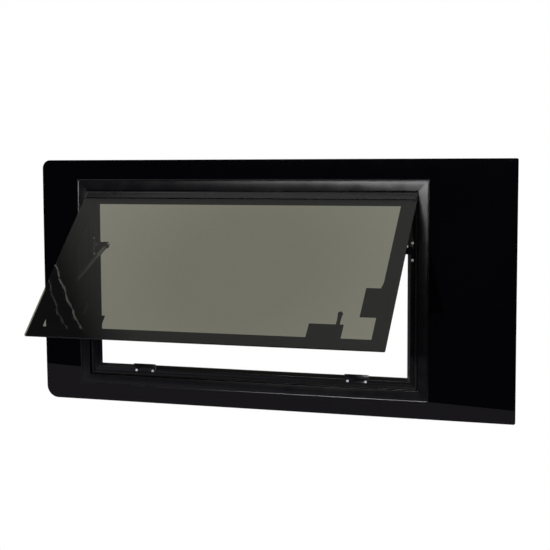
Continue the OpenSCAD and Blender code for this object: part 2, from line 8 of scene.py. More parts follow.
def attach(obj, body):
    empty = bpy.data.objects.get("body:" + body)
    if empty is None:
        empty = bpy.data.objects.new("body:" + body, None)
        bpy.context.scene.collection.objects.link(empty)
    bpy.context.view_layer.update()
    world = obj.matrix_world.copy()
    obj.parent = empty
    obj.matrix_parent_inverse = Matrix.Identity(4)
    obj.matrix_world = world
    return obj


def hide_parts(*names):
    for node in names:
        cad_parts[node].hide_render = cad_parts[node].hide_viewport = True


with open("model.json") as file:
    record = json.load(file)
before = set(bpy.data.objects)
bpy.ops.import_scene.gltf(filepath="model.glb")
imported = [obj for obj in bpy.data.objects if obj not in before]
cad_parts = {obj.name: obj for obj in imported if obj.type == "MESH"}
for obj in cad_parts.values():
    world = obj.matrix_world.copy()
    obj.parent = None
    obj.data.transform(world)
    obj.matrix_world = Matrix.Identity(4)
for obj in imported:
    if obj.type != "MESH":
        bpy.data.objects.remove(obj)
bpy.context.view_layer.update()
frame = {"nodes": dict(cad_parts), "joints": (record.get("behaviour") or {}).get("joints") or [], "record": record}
nodes = frame["nodes"]
print("frame loaded:", len(nodes), "nodes")

window = {
    "bendRadius": 22.0,        # body-side curve
    "panelHeight": 0.590,
    "panelWidth": 1.160,
    "panelLeft": -0.5305,
    "panelThickness": 0.004,
    "cornerTopLeft": 0.020,
    "cornerBottomLeft": 0.030,
    "cornerRight": 0.004,
    "cutInset": 0.019,         # edge of the cut-out, in from the frame's outer side
    "cutCorner": 0.003,
    "frameTop": 0.248,
    "frameBottom": -0.256,
    "frameHalfWidth": 0.435,
    "openAngle": math.radians(46.5),
    "sashHalfWidth": 0.409,
    "sashTop": 0.2085,
    "sashBottom": -0.230,
    "sashFront": -0.0026,
    "sashBack": 0.0014,
    "sashCorner": 0.003,
}
hingeAxis = next(j for j in frame["joints"] if j["name"] == "sash_hinge")["pos_m"]

# at its long edges the outer face stands one glass thickness in front of y = 0
bendCentre = round(math.sqrt(window["bendRadius"] ** 2 - window["panelHeight"] ** 2 / 4)
                   - window["panelThickness"], 4)


def faceDepth(z):
    return bendCentre - math.sqrt(window["bendRadius"] ** 2 - z * z)


def onCurve(x, z, v):
    # v is the depth behind the panel's outer face
    lean = math.asin(z / window["bendRadius"])
    return Vector((x, faceDepth(z) + v * math.cos(lean), z - v * math.sin(lean)))


swing = (Matrix.Translation(Vector(hingeAxis))
         @ Matrix.Rotation(-window["openAngle"], 4, "X")
         @ Matrix.Translation(-Vector(hingeAxis)))


# angles in degrees, lens and sensor in millimetres
cameraSetup = {
    "place": (0.9736, -2.7615, 0.2996),
    "turn": -18.135,
    "tilt": -5.390,
    "roll": -0.288,
    "lens": 81.71457,
    "sensor": 36,
    "farthest": 50,
}


def makeCamera():
    data = bpy.data.cameras.new("camera")
    data.sensor_width = cameraSetup["sensor"]
    data.lens = cameraSetup["lens"]
    data.clip_end = cameraSetup["farthest"]
    turn, tilt, roll = (math.radians(cameraSetup[k]) for k in ("turn", "tilt", "roll"))
    forward = Vector((math.sin(turn) * math.cos(tilt), math.cos(turn) * math.cos(tilt), math.sin(tilt)))
    right = Vector((math.cos(turn), -math.sin(turn), 0))
    up = right.cross(forward)
    right, up = (math.cos(roll) * right + math.sin(roll) * up,
                 -math.sin(roll) * right + math.cos(roll) * up)
    camera = bpy.data.objects.new("camera", data)
    place = Matrix((right, up, -forward)).transposed().to_4x4()
    place.translation = Vector(cameraSetup["place"])
    camera.matrix_world = place
    bpy.context.scene.collection.objects.link(camera)
    bpy.context.scene.camera = camera


makeCamera()
print("camera set")


def newFinish(name):
    finish = bpy.data.materials.new(name)
    finish.use_nodes = True
    tree = finish.node_tree
    tree.nodes.clear()
    out = tree.nodes.new("ShaderNodeOutputMaterial")
    skin = tree.nodes.new("ShaderNodeBsdfPrincipled")
    tree.links.new(skin.outputs["BSDF"], out.inputs["Surface"])
    return finish, tree, skin, out


def objectNoise(tree, scale, detail=3.0, rough=0.5, stretch=None):
    place = tree.nodes.new("ShaderNodeTexCoord")
    noise = tree.nodes.new("ShaderNodeTexNoise")
    noise.inputs["Scale"].default_value = scale
    noise.inputs["Detail"].default_value = detail
    noise.inputs["Roughness"].default_value = rough
    if stretch:
        turn = tree.nodes.new("ShaderNodeMapping")
        turn.inputs["Scale"].default_value = stretch
        tree.links.new(place.outputs["Object"], turn.inputs["Vector"])
        tree.links.new(turn.outputs["Vector"], noise.inputs["Vector"])
    else:
        tree.links.new(place.outputs["Object"], noise.inputs["Vector"])
    return noise.outputs["Fac"]


def spread(tree, source, low, high, fromLow=0.3, fromHigh=0.7):
    node = tree.nodes.new("ShaderNodeMapRange")
    node.inputs["From Min"].default_value = fromLow
    node.inputs["From Max"].default_value = fromHigh
    node.inputs["To Min"].default_value = low
    node.inputs["To Max"].default_value = high
    tree.links.new(source, node.inputs["Value"])
    return node.outputs["Result"]


def tones(tree, source, dark, light, fromLow=0.35, fromHigh=0.65):
    ramp = tree.nodes.new("ShaderNodeValToRGB")
    ramp.color_ramp.elements[0].position = fromLow
    ramp.color_ramp.elements[0].color = (*dark, 1)
    ramp.color_ramp.elements[1].position = fromHigh
    ramp.color_ramp.elements[1].color = (*light, 1)
    tree.links.new(source, ramp.inputs["Fac"])
    return ramp.outputs["Color"]


def relief(tree, source, depth, strength=1.0):
    bump = tree.nodes.new("ShaderNodeBump")
    bump.inputs["Distance"].default_value = depth
    bump.inputs["Strength"].default_value = strength
    tree.links.new(source, bump.inputs["Height"])
    return bump.outputs["Normal"]


panelGlassLook = {
    "dark": (0.0006, 0.0006, 0.0011),
    "light": (0.0012, 0.0012, 0.0018),
    "patch": 3.0,
    "rough": (0.012, 0.03),
    "smears": 14,
    "waves": 5.0,
    "waveDepth": 0.00002,
    "waveStrength": 0.5,
    "ior": 1.5,
}


def panelGlassFinish():
    look = panelGlassLook
    finish, tree, skin, out = newFinish("blackPanelGlass")
    tree.links.new(tones(tree, objectNoise(tree, look["patch"], 3), look["dark"], look["light"]),
                   skin.inputs["Base Color"])
    tree.links.new(spread(tree, objectNoise(tree, look["smears"], 6, 0.7), *look["rough"]),
                   skin.inputs["Roughness"])
    tree.links.new(relief(tree, objectNoise(tree, look["waves"], 1, 0.3), look["waveDepth"],
                          look["waveStrength"]), skin.inputs["Normal"])
    skin.inputs["IOR"].default_value = look["ior"]
    return finish


sashGlassLook = {
    # painted shade: the tint is darkest around a centre point and lighter further out
    "paintedShadeCentre": (0.05, -0.17, 0.05),
    "paintedShadeReach": (0.15, 0.50),
    "tintInPaintedShade": (0.384, 0.384, 0.336),
    "tintOutOfPaintedShade": (0.447, 0.447, 0.398),
    "glossFacing": 0.04,
    "glossPower": 5,
    "rough": (0.01, 0.035),
    "smears": 12,
    "waves": 6.0,
    "waveDepth": 0.00003,
    "waveStrength": 0.5,
}


def tintedGlassFinish():
    # the glass's own tint with painted shade, darkest near the middle, under a gloss that grows towards the edge
    # of sight
    look = sashGlassLook
    finish, tree, skin, out = newFinish("tintedSashGlass")
    clear = tree.nodes.new("ShaderNodeBsdfTransparent")
    place = tree.nodes.new("ShaderNodeTexCoord")
    reach = tree.nodes.new("ShaderNodeVectorMath")
    reach.operation = "DISTANCE"
    reach.inputs[1].default_value = look["paintedShadeCentre"]
    tree.links.new(place.outputs["Object"], reach.inputs[0])
    away = spread(tree, reach.outputs["Value"], 0.0, 1.0, *look["paintedShadeReach"])
    tree.links.new(tones(tree, away, look["tintInPaintedShade"], look["tintOutOfPaintedShade"], 0.0, 1.0), clear.inputs["Color"])
    facing = tree.nodes.new("ShaderNodeLayerWeight")
    facing.inputs["Blend"].default_value = 0.5
    power = tree.nodes.new("ShaderNodeMath")
    power.operation = "POWER"
    power.inputs[1].default_value = look["glossPower"]
    tree.links.new(facing.outputs["Facing"], power.inputs[0])
    share = spread(tree, power.outputs[0], look["glossFacing"], 1.0, 0, 1)
    mix = tree.nodes.new("ShaderNodeMixShader")
    tree.links.new(share, mix.inputs["Fac"])
    tree.links.new(clear.outputs["BSDF"], mix.inputs[1])
    skin.inputs["Base Color"].default_value = (1, 1, 1, 1)
    skin.inputs["Metallic"].default_value = 1
    tree.links.new(spread(tree, objectNoise(tree, look["smears"], 6, 0.7), *look["rough"]),
                   skin.inputs["Roughness"])
    tree.links.new(relief(tree, objectNoise(tree, look["waves"], 1, 0.3), look["waveDepth"],
                          look["waveStrength"]), skin.inputs["Normal"])
    tree.links.new(skin.outputs["BSDF"], mix.inputs[2])
    tree.links.new(mix.outputs["Shader"], out.inputs["Surface"])
    return finish


printLook = {
    "dark": (0.0015, 0.0015, 0.0015),
    "light": (0.003, 0.003, 0.003),
    "speckle": 900,
    "rough": (0.5, 0.65),
    "roughSpeckle": 500,
    "specular": 0.2,
}


def printFinish():
    look = printLook
    finish, tree, skin, out = newFinish("blackPrint")
    tree.links.new(tones(tree, objectNoise(tree, look["speckle"], 2), look["dark"], look["light"]),
                   skin.inputs["Base Color"])
    tree.links.new(spread(tree, objectNoise(tree, look["roughSpeckle"], 2), *look["rough"]),
                   skin.inputs["Roughness"])
    skin.inputs["Specular IOR Level"].default_value = look["specular"]
    return finish


# metals, plastics and rubber: colour from dark to light in patches, roughness, fine grain
grainyLooks = {
    "frame": {
        "name": "satinBlackFrame", "dark": (0.0012, 0.0012, 0.0018), "light": (0.0022, 0.0022, 0.003),
        "rough": (0.18, 0.24), "grain": 2600, "depth": 0.00001, "specular": 0.7,
    },
    "hinge": {
        "name": "satinBlackHinge", "dark": (0.006, 0.006, 0.007), "light": (0.009, 0.009, 0.0105),
        "rough": (0.2, 0.3), "grain": 2600, "depth": 0.00001, "stretch": (0.03, 1, 1),
    },
    "rubber": {
        "name": "blackRubber", "dark": (0.004, 0.004, 0.004), "light": (0.008, 0.008, 0.008),
        "rough": (0.55, 0.8), "grain": 1800, "depth": 0.00005, "specular": 0.3,
    },
    "plastic": {
        "name": "grainedBlackPlastic", "dark": (0.006, 0.006, 0.006), "light": (0.011, 0.011, 0.011),
        "rough": (0.4, 0.55), "grain": 1500, "depth": 0.00006,
    },
    "fitting": {
        "name": "powderBlackFitting", "dark": (0.008, 0.008, 0.009), "light": (0.013, 0.013, 0.014),
        "rough": (0.32, 0.5), "grain": 1200, "depth": 0.00005,
    },
    "zinc": {
        "name": "whiteZincScrew", "dark": (0.88, 0.89, 0.9), "light": (0.95, 0.95, 0.95),
        "rough": (0.3, 0.45), "grain": 1400, "depth": 0.00001, "metallic": 0.1, "patch": 60,
    },
    "steel": {
        "name": "brightSteel", "dark": (0.62, 0.62, 0.63), "light": (0.78, 0.78, 0.79),
        "rough": (0.16, 0.32), "grain": 1400, "depth": 0.00001, "metallic": 1.0, "patch": 60,
    },
    "tube": {
        "name": "greyStayTube", "dark": (0.035, 0.035, 0.037), "light": (0.05, 0.05, 0.053),
        "rough": (0.3, 0.45), "grain": 1500, "depth": 0.00002, "stretch": (1, 0.05, 0.05),
    },
    "rod": {
        "name": "blackenedStayRod", "dark": (0.035, 0.035, 0.037), "light": (0.05, 0.05, 0.053),
        "rough": (0.25, 0.4), "grain": 1800, "depth": 0.00001, "metallic": 0.6, "patch": 50,
    },
    "aluminium": {
        "name": "millAluminium", "dark": (0.55, 0.56, 0.57), "light": (0.68, 0.69, 0.7),
        "rough": (0.35, 0.5), "grain": 900, "depth": 0.00002, "metallic": 1.0, "patch": 40,
    },
    "adhesive": {
        "name": "blackAdhesive", "dark": (0.006, 0.006, 0.006), "light": (0.012, 0.012, 0.012),
        "rough": (0.5, 0.7), "grain": 700, "depth": 0.0001,
    },
}


def grainyFinish(look):
    finish, tree, skin, out = newFinish(look["name"])
    patch = look.get("patch", 9.0)
    smears = patch * 2.7  # the roughness varies over less than the colour does
    tree.links.new(tones(tree, objectNoise(tree, patch, 4, 0.6), look["dark"], look["light"]),
                   skin.inputs["Base Color"])
    tree.links.new(spread(tree, objectNoise(tree, smears, 5, 0.65), *look["rough"]),
                   skin.inputs["Roughness"])
    grain = objectNoise(tree, look["grain"], 2, 0.5, look.get("stretch"))
    tree.links.new(relief(tree, grain, look["depth"]), skin.inputs["Normal"])
    skin.inputs["Metallic"].default_value = look.get("metallic", 0.0)
    skin.inputs["Specular IOR Level"].default_value = look.get("specular", 0.5)
    return finish


finishes = {
    "panelGlass": panelGlassFinish(),
    "sashGlass": tintedGlassFinish(),
    "print": printFinish(),
}
for kind, look in grainyLooks.items():
    finishes[kind] = grainyFinish(look)
print("finishes made:", len(finishes))

nodeFinish = {
    "outer_panel": "panelGlass",
    "sash_glass": "sashGlass",
    "corner_keys": "aluminium",
    "frame_bond": "adhesive",
    "bond_pads": "adhesive",
    "hinge_rail": "hinge",
    "hinge_profile": "hinge",
    "hinge_end_caps": "plastic",
    "hinge_glazing_strip": "rubber",
    "latch_washers": "steel",
}
# every other node takes the first finish whose words are in its name
finishByWords = (
    ("seal_", "rubber"), ("frame_", "frame"), ("gland", "plastic"), ("piston", "plastic"),
    ("screws", "zinc"), ("striker_", "frame"), ("bracket", "frame"), ("studs", "steel"),
    ("pin", "steel"), ("stay_tube", "tube"), ("stay_rod", "rod"), ("latch_", "plastic"),
    ("", "fitting"),
)
for name, obj in nodes.items():
    if name not in nodeFinish:
        nodeFinish[name] = next(kind for words, kind in finishByWords if words in name)
    obj.data.materials.clear()
    obj.data.materials.append(finishes[nodeFinish[name]])


def bodyOf(node):
    return next(b for b, members in frame["record"]["behaviour"]["bodies"].items() if node in members)


def addPiece(name, mesh, body, finish):
    mesh.materials.clear()
    mesh.materials.append(finishes[finish])
    piece = bpy.data.objects.new(name, mesh)
    bpy.context.scene.collection.objects.link(piece)
    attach(piece, body)
    return piece


edgeSoftening = {
    "segments": 2,
    "panelWidth": 0.0008,
    "sashWidth": 0.0007,
    "sheetAngle": 40,
    "partAngle": 28,
    "mergeDistance": 1e-6,
    "flatAngle": 1.0,
}


def soften(piece, width, angle):
    bevel = piece.modifiers.new("softEdges", "BEVEL")
    bevel.width = width
    bevel.segments = edgeSoftening["segments"]
    bevel.limit_method = "ANGLE"
    bevel.angle_limit = math.radians(angle)
    bevel.harden_normals = True
    bevel.use_clamp_overlap = True
    piece.data.shade_smooth()


def softCopy(node, width):
    # the node's own shape, merged and flattened first, with its edges softened
    data = bmesh.new()
    data.from_mesh(nodes[node].data)
    bmesh.ops.remove_doubles(data, verts=data.verts, dist=edgeSoftening["mergeDistance"])
    bmesh.ops.dissolve_limit(data, angle_limit=math.radians(edgeSoftening["flatAngle"]),
                             verts=data.verts, edges=data.edges)
    bmesh.ops.recalc_face_normals(data, faces=data.faces)
    mesh = bpy.data.meshes.new(node + "Soft")
    data.to_mesh(mesh)
    data.free()
    piece = addPiece(node + "Soft", mesh, bodyOf(node), nodeFinish[node])
    soften(piece, width, edgeSoftening["partAngle"])
    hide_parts(node)


def arc(cx, cz, r, start, end, steps=8):
    return [(cx + r * math.cos(math.radians(start + (end - start) * i / steps)),
             cz + r * math.sin(math.radians(start + (end - start) * i / steps))) for i in range(steps + 1)]


def roundedLoop(x0, z0, x1, z1, corners):
    # corner radii run from the lower left one, anticlockwise from outside
    bottomLeft, bottomRight, topRight, topLeft = corners
    return (arc(x0 + bottomLeft, z0 + bottomLeft, bottomLeft, 180, 270)
            + arc(x1 - bottomRight, z0 + bottomRight, bottomRight, 270, 360)
            + arc(x1 - topRight, z1 - topRight, topRight, 0, 90)
            + arc(x0 + topLeft, z1 - topLeft, topLeft, 90, 180))


def curvedSheet(name, loops, front, back, place=None, step=0.02):
    # flat outline, cut into level bands, bent to the body side and given its thickness
    data = bmesh.new()
    for loop in loops:
        ring = [data.verts.new((x, 0, z)) for x, z in loop]
        for a, b in zip(ring, ring[1:] + ring[:1]):
            data.edges.new((a, b))
    bmesh.ops.triangle_fill(data, use_beauty=True, edges=data.edges[:])
    zs = [v.co.z for v in data.verts]
    level = min(zs) + step / 2
    while level < max(zs):
        bmesh.ops.bisect_plane(data, geom=data.verts[:] + data.edges[:] + data.faces[:], dist=1e-7,
                               plane_co=(0, 0, level), plane_no=(0, 0, 1))
        level += step
    grown = bmesh.ops.extrude_face_region(data, geom=data.faces[:])
    inner = {v for v in grown["geom"] if isinstance(v, bmesh.types.BMVert)}
    for v in data.verts:
        v.co = onCurve(v.co.x, v.co.z, back if v in inner else front)
    bmesh.ops.recalc_face_normals(data, faces=data.faces)
    if place is not None:
        data.transform(place)
    mesh = bpy.data.meshes.new(name)
    data.to_mesh(mesh)
    data.free()
    return mesh


def makePanel():
    w = window
    cut = w["cutInset"]
    outer = roundedLoop(w["panelLeft"], -w["panelHeight"] / 2,
                        w["panelLeft"] + w["panelWidth"], w["panelHeight"] / 2,
                        (w["cornerBottomLeft"], w["cornerRight"], w["cornerRight"], w["cornerTopLeft"]))
    inner = roundedLoop(-w["frameHalfWidth"] + cut, w["frameBottom"] + cut, w["frameHalfWidth"] - cut,
                        w["frameTop"] - cut, (w["cutCorner"],) * 4)
    mesh = curvedSheet("panelSheet", [outer, inner], 0, w["panelThickness"])
    panel = addPiece("panelSheet", mesh, "panel", "panelGlass")
    soften(panel, edgeSoftening["panelWidth"], edgeSoftening["sheetAngle"])
    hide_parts("outer_panel")


makePanel()

# section of a frame member: distances from its outer side, and depths behind the panel's face
frameSizes = {
    "bead": 0.0014,
    "grooveStart": 0.0034,
    "grooveEnd": 0.0046,
    "grooveSlope": 0.0003,
    "grooveDepth": 0.0007,
    "web": 0.023,
    "flange": 0.025,
    "flangeFront": -0.0026,
    "flangeBack": -0.0006,
    "recessEnd": 0.035,
    "recessFloor": 0.008,
    "lipEnd": 0.044,
    "lipFace": 0.005,
    "clearEdge": 0.052,
    "bevelEnd": 0.012,
    "back": 0.014,
    "mitreGap": 0.00006,
    "softCorner": 0.0004,
    "sharpAngle": 35,
    "uprightSteps": 26,
    "levelSteps": 4,
}


def rounded(points, radius, steps=3):
    # corners rounded off, nearly straight ones left as they are
    mostOfSide, nearlyStraight = 0.35, 0.15
    out = []
    count = len(points)
    for i, (u, v) in enumerate(points):
        before, here, after = Vector(points[i - 1]), Vector((u, v)), Vector(points[(i + 1) % count])
        a, b = before - here, after - here
        r = min(radius, a.length * mostOfSide, b.length * mostOfSide)
        if abs(a.normalized().cross(b.normalized())) < nearlyStraight:
            out.append((u, v))
            continue
        start, end = here + a.normalized() * r, here + b.normalized() * r
        for k in range(steps + 1):
            t = k / steps
            p = start.lerp(here, t).lerp(here.lerp(end, t), t)
            out.append((p.x, p.y))
    return out


def frameSection():
    s = frameSizes
    front, foot = s["flangeFront"], s["flangeFront"] + s["grooveDepth"]
    bead = arc(s["bead"], s["flangeBack"] - s["bead"], s["bead"], 90, 270, 9)
    groove = [(s["grooveStart"], front), (s["grooveStart"] + s["grooveSlope"], foot),
              (s["grooveEnd"] - s["grooveSlope"], foot), (s["grooveEnd"], front)]
    hard = [(s["grooveEnd"], front), (s["flange"], front), (s["flange"], s["recessFloor"]),
            (s["recessEnd"], s["recessFloor"]), (s["recessEnd"], s["lipFace"]), (s["lipEnd"], s["lipFace"]),
            (s["clearEdge"], s["bevelEnd"]), (s["clearEdge"], s["back"]), (s["web"], s["back"]),
            (s["web"], s["flangeBack"]), (2 * s["bead"], s["flangeBack"])]
    return bead + groove + rounded(hard, s["softCorner"])[4:]  # the groove ends where hard begins


def memberMesh(name, section, upright, steps):
    # upright members run along the curve, level ones are straight; both ends are mitred
    w, gap = window, frameSizes["mitreGap"]
    data = bmesh.new()
    rings = []
    for i in range(steps + 1):
        t = i / steps
        ring = []
        for u, v in section:
            if upright:
                low, high = w["frameBottom"] + u + gap, w["frameTop"] - u - gap
                ring.append(data.verts.new(onCurve(-w["frameHalfWidth"] + u, low + (high - low) * t, v)))
            else:
                half = w["frameHalfWidth"] - u - gap
                ring.append(data.verts.new(onCurve(-half + 2 * half * t, w["frameTop"] - u, v)))
        rings.append(ring)
    count = len(section)
    for a, b in zip(rings, rings[1:]):
        for k in range(count):
            data.faces.new((a[k], a[(k + 1) % count], b[(k + 1) % count], b[k]))
    data.faces.new(rings[0])
    data.faces.new(list(reversed(rings[-1])))
    bmesh.ops.recalc_face_normals(data, faces=data.faces)
    mesh = bpy.data.meshes.new(name)
    data.to_mesh(mesh)
    data.free()
    return mesh


def mirrored(mesh, name, across):
    data = bmesh.new()
    data.from_mesh(mesh)
    for v in data.verts:
        v.co = across(v.co)
    bmesh.ops.recalc_face_normals(data, faces=data.faces)
    copy = bpy.data.meshes.new(name)
    data.to_mesh(copy)
    data.free()
    return copy


def makeFrame():
    section = frameSection()
    left = memberMesh("frameLeftMember", section, True, frameSizes["uprightSteps"])
    top = memberMesh("frameTopMember", section, False, frameSizes["levelSteps"])
    right = mirrored(left, "frameRightMember", lambda p: Vector((-p.x, p.y, p.z)))
    w = window

    def lower(p):
        # the same member turned over, set on the curve at the lower edge
        u = w["frameTop"] - p.z
        v = p.y - faceDepth(w["frameTop"] - u)
        return onCurve(p.x, w["frameBottom"] + u, v)

    bottom = mirrored(top, "frameBottomMember", lower)
    members = ((left, "frame_left"), (right, "frame_right"), (top, "frame_top"), (bottom, "frame_bottom"))
    for mesh, node in members:
        member = addPiece(mesh.name, mesh, "panel", "frame")
        mesh.shade_smooth()
        mesh.set_sharp_from_angle(angle=math.radians(frameSizes["sharpAngle"]))
        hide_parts(node)


makeFrame()
print("panel and frame made")

# black border behind the sash glass, with a pad under each latch and each stay
printSizes = {
    "side": 0.034,
    "bottom": 0.0305,
    "topEdge": 0.180,
    "latchPad": (0.2345, 0.310, -0.163),   # inner side, outer side, top
    "stayPad": (0.3395, -0.062, -0.142),   # inner side, top, bottom
    "padCorner": 0.0012,
    "edgeInset": 0.0008,
    "edgeCorner": 0.0025,
    "offGlass": 0.00002,
    "thickness": 0.00008,
    "sharpAngle": 40,
}


def borderOpening():
    p, w = printSizes, window
    side = w["sashHalfWidth"] - p["side"]
    bottom = w["sashBottom"] + p["bottom"]
    padIn, padOut, padTop = p["latchPad"]
    stayIn, stayTop, stayLow = p["stayPad"]
    right = [(padIn, bottom), (padIn, padTop), (padOut, padTop), (padOut, bottom), (side, bottom),
             (side, stayLow), (stayIn, stayLow), (stayIn, stayTop), (side, stayTop), (side, p["topEdge"])]
    left = [(-x, z) for x, z in reversed(right)]
    return rounded(right + left, p["padCorner"])


def makeSash():
    p, w = printSizes, window
    outline = roundedLoop(-w["sashHalfWidth"], w["sashBottom"], w["sashHalfWidth"], w["sashTop"],
                          (w["sashCorner"],) * 4)
    mesh = curvedSheet("sashSheet", [outline], w["sashFront"], w["sashBack"], swing)
    sash = addPiece("sashSheet", mesh, "sash", "sashGlass")
    soften(sash, edgeSoftening["sashWidth"], edgeSoftening["sheetAngle"])
    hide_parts("sash_glass")
    inset = p["edgeInset"]
    edge = roundedLoop(-w["sashHalfWidth"] + inset, w["sashBottom"] + inset, w["sashHalfWidth"] - inset,
                       w["sashTop"] - inset, (p["edgeCorner"],) * 4)
    back = w["sashBack"] + p["offGlass"]
    mesh = curvedSheet("sashPrint", [edge, borderOpening()], back, back + p["thickness"], swing)
    addPiece("sashPrint", mesh, "sash", "print")
    mesh.shade_smooth()
    mesh.set_sharp_from_angle(angle=math.radians(p["sharpAngle"]))


makeSash()
print("sash made")

# edge radii of the small parts
softWidths = {
    "hinge_profile": 0.00035, "hinge_end_caps": 0.0006, "hinge_rail": 0.0003,
    "striker_left": 0.0003, "striker_right": 0.0003,
    "stay_bracket_left": 0.00035, "stay_bracket_right": 0.00035,
    "stay_foot_left": 0.0005, "stay_foot_right": 0.0005,
    "latch_base_left": 0.0008, "latch_base_right": 0.0008,
    "latch_lever_left": 0.0011, "latch_lever_right": 0.0011,
    "stay_tube_left": 0.0004, "stay_tube_right": 0.0004,
    "stay_gland_left": 0.0005, "stay_gland_right": 0.0005,
    "stay_rod_left": 0.0004, "stay_rod_right": 0.0004,
    "stay_studs": 0.0003, "latch_pins": 0.0005,
}
for node, width in softWidths.items():
    softCopy(node, width)
print("small parts softened:", len(softWidths))

# pan-head screws with a cross recess
screwSizes = {
    "headRadius": 0.0033,
    "headHeight": 0.0018,
    "domePower": 2.6,
    "shankRadius": 0.0016,
    "shankLength": 0.005,
    "crossWidth": 0.0009,
    "crossReach": 0.0021,
    "crossDepth": 0.0011,
    "crossTaper": 0.5,
    "crossFloor": 0.0003,
    "facesAround": 48,
    "facesAcross": 14,
    "sharpAngle": 50,
    "mostSpin": 1.5708,
}


def screwMesh():
    # head towards -Y, seat at the origin
    s = screwSizes
    data = bmesh.new()
    around, across = s["facesAround"], s["facesAcross"]
    rings = []
    for i in range(1, across + 1):
        r = s["headRadius"] * i / across
        ring = []
        for k in range(around):
            a = 2 * math.pi * k / around
            x, z = r * math.cos(a), r * math.sin(a)
            rise = s["headHeight"] * math.sqrt(max(0.0, 1 - (r / s["headRadius"]) ** s["domePower"]))
            slotX = abs(x) < s["crossWidth"] / 2 and abs(z) < s["crossReach"]
            slotZ = abs(z) < s["crossWidth"] / 2 and abs(x) < s["crossReach"]
            if slotX or slotZ:
                depth = s["crossDepth"] * (1 - s["crossTaper"] * r / s["crossReach"])
                rise = max(s["crossFloor"], rise - depth)
            ring.append(data.verts.new((x, -rise, z)))
        rings.append(ring)
    centre = data.verts.new((0, -s["headHeight"] + s["crossDepth"], 0))
    for k in range(around):
        data.faces.new((centre, rings[0][k], rings[0][(k + 1) % around]))
    narrow = s["shankRadius"] / s["headRadius"]
    neck = [data.verts.new((v.co.x * narrow, 0, v.co.z * narrow)) for v in rings[-1]]
    end = [data.verts.new((v.co.x, s["shankLength"], v.co.z)) for v in neck]
    bands = rings + [neck, end]
    for a, b in zip(bands, bands[1:]):
        for k in range(around):
            data.faces.new((a[k], b[k], b[(k + 1) % around], a[(k + 1) % around]))
    data.faces.new(end)
    bmesh.ops.recalc_face_normals(data, faces=data.faces)
    mesh = bpy.data.meshes.new("panScrew")
    data.to_mesh(mesh)
    data.free()
    mesh.shade_smooth()
    mesh.set_sharp_from_angle(angle=math.radians(s["sharpAngle"]))
    return mesh


def screwTree():
    # one screw on each point, leaning with the curve and turned at random about its own axis
    tree = bpy.data.node_groups.new("screwRow", "GeometryNodeTree")
    tree.interface.new_socket("Geometry", in_out="INPUT", socket_type="NodeSocketGeometry")
    screw = tree.interface.new_socket("Screw", in_out="INPUT", socket_type="NodeSocketObject")
    size = tree.interface.new_socket("Size", in_out="INPUT", socket_type="NodeSocketFloat")
    size.default_value = 1.0
    seed = tree.interface.new_socket("Seed", in_out="INPUT", socket_type="NodeSocketInt")
    finish = tree.interface.new_socket("Finish", in_out="INPUT", socket_type="NodeSocketMaterial")
    tree.interface.new_socket("Geometry", in_out="OUTPUT", socket_type="NodeSocketGeometry")
    inside, outside = tree.nodes.new("NodeGroupInput"), tree.nodes.new("NodeGroupOutput")
    info = tree.nodes.new("GeometryNodeObjectInfo")
    place = tree.nodes.new("GeometryNodeInstanceOnPoints")
    lean = tree.nodes.new("GeometryNodeInputNamedAttribute")
    lean.data_type = "FLOAT_VECTOR"
    lean.inputs["Name"].default_value = "lean"
    turn = tree.nodes.new("FunctionNodeRandomValue")
    turn.data_type = "FLOAT"
    turn.inputs[3].default_value = screwSizes["mostSpin"]  # the float range's upper end
    spin = tree.nodes.new("GeometryNodeRotateInstances")
    pack = tree.nodes.new("ShaderNodeCombineXYZ")
    real = tree.nodes.new("GeometryNodeRealizeInstances")
    paint = tree.nodes.new("GeometryNodeSetMaterial")
    link = tree.links.new
    link(inside.outputs["Screw"], info.inputs["Object"])
    link(inside.outputs["Geometry"], place.inputs["Points"])
    link(info.outputs["Geometry"], place.inputs["Instance"])
    link(lean.outputs["Attribute"], place.inputs["Rotation"])
    link(inside.outputs["Size"], place.inputs["Scale"])
    link(inside.outputs["Seed"], turn.inputs["Seed"])
    link(turn.outputs[1], pack.inputs["Y"])
    link(place.outputs["Instances"], spin.inputs["Instances"])
    link(pack.outputs["Vector"], spin.inputs["Rotation"])
    link(spin.outputs["Instances"], real.inputs["Geometry"])
    link(real.outputs["Geometry"], paint.inputs["Geometry"])
    link(inside.outputs["Finish"], paint.inputs["Material"])
    link(paint.outputs["Geometry"], outside.inputs["Geometry"])
    return tree, {"screw": screw.identifier, "size": size.identifier, "seed": seed.identifier,
                  "finish": finish.identifier}


screwPattern = screwMesh()
screwTool, screwSockets = screwTree()


def loosePieces(node):
    # the node's separate solids, each as a list of its corners
    data = bmesh.new()
    data.from_mesh(nodes[node].data)
    bmesh.ops.remove_doubles(data, verts=data.verts, dist=edgeSoftening["mergeDistance"])
    seen, groups = set(), []
    for v in data.verts:
        if v in seen:
            continue
        stack, group = [v], []
        seen.add(v)
        while stack:
            here = stack.pop()
            group.append(here.co.copy())
            for e in here.link_edges:
                other = e.other_vert(here)
                if other not in seen:
                    seen.add(other)
                    stack.append(other)
        groups.append(group)
    data.free()
    return groups


